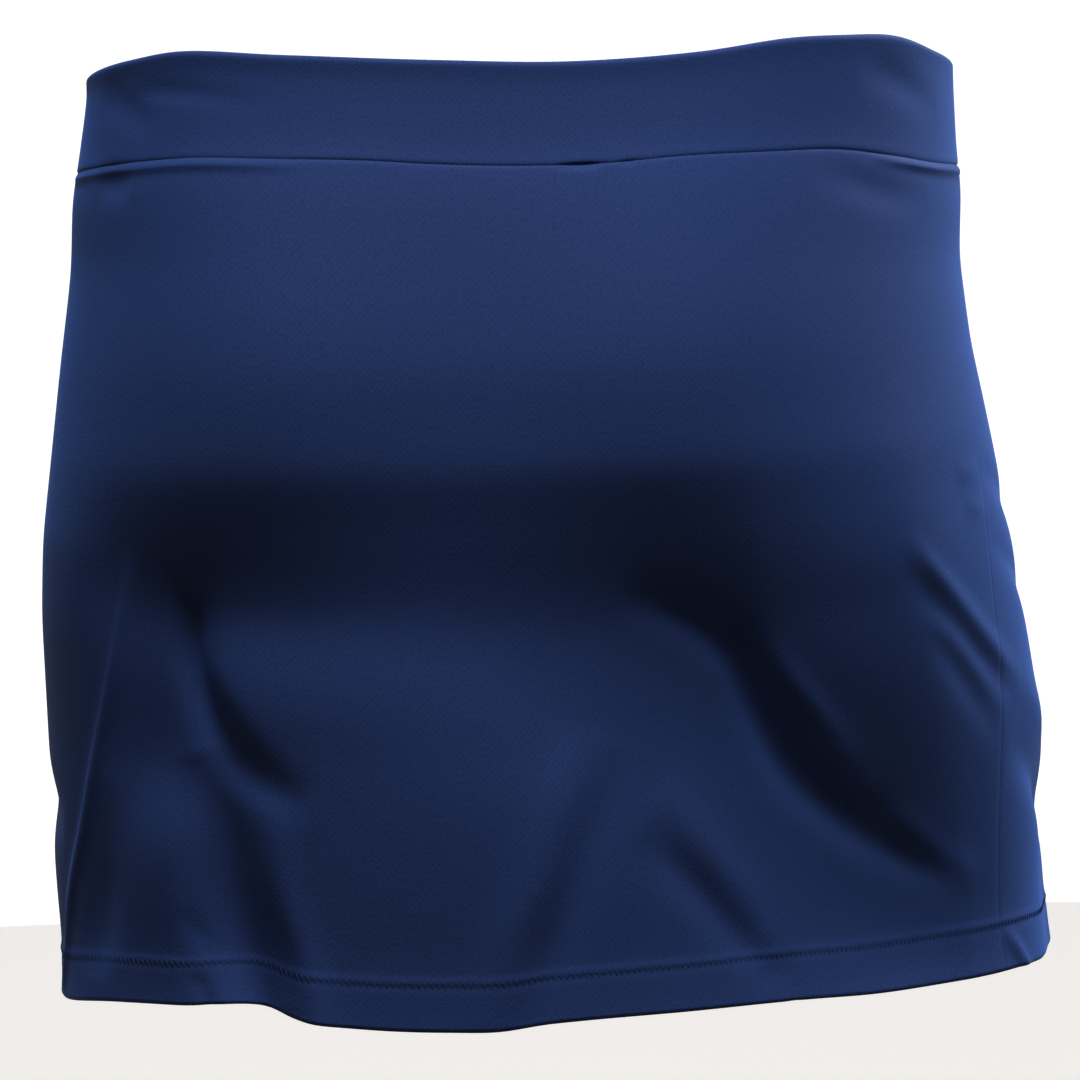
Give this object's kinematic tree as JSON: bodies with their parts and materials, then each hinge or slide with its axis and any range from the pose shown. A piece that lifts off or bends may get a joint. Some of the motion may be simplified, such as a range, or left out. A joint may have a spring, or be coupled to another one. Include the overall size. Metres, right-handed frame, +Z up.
{
  "type": "pull-on cheer skirt",
  "caption": "Short pull-on sports skirt in smooth stretch knit, with a wide flat elastic waistband, side seams and a coverstitched straight hem.",
  "frame": {"origin": "centre of the waist opening, at the top edge of the waistband", "axes": "+Z up the wearer's body, +X towards the wearer's right, +Y towards the wearer's front, so the back of the skirt is on the -Y side"},
  "size_m": [0.3734, 0.2506, 0.3335],
  "materials": {
    "skirt_knit": "smooth navy blue polyester knit, faint twill grain, slight sheen",
    "band_knit": "same navy blue knit, held flat by the elastic",
    "facing_knit": "same navy blue knit, wrong side",
    "elastic": "white woven elastic",
    "join_thread": "white polyester thread",
    "stitch_thread": "navy blue polyester thread",
    "overlock_thread": "navy blue overlock thread over the cut edge of the knit",
    "label_tape": "white satin tape, blank"
  },
  "bodies": {
    "root": {"waistband_outer_back": "band_knit", "waistband_outer_front": "band_knit", "waistband_facing_back": "facing_knit", "waistband_facing_front": "facing_knit", "waist_elastic": "elastic", "elastic_join_stitching": "join_thread", "waistband_side_seam_left": "facing_knit", "waistband_side_seam_right": "facing_knit", "skirt_back_panel": "skirt_knit", "skirt_front_panel": "skirt_knit", "side_seam_overlock_left": "overlock_thread", "side_seam_overlock_right": "overlock_thread", "waist_seam_overlock": "overlock_thread", "hem_needle_thread_upper": "stitch_thread", "hem_needle_thread_lower": "stitch_thread", "hem_looper_thread": "stitch_thread", "care_label": "label_tape"}
  },
  "joints": []
}
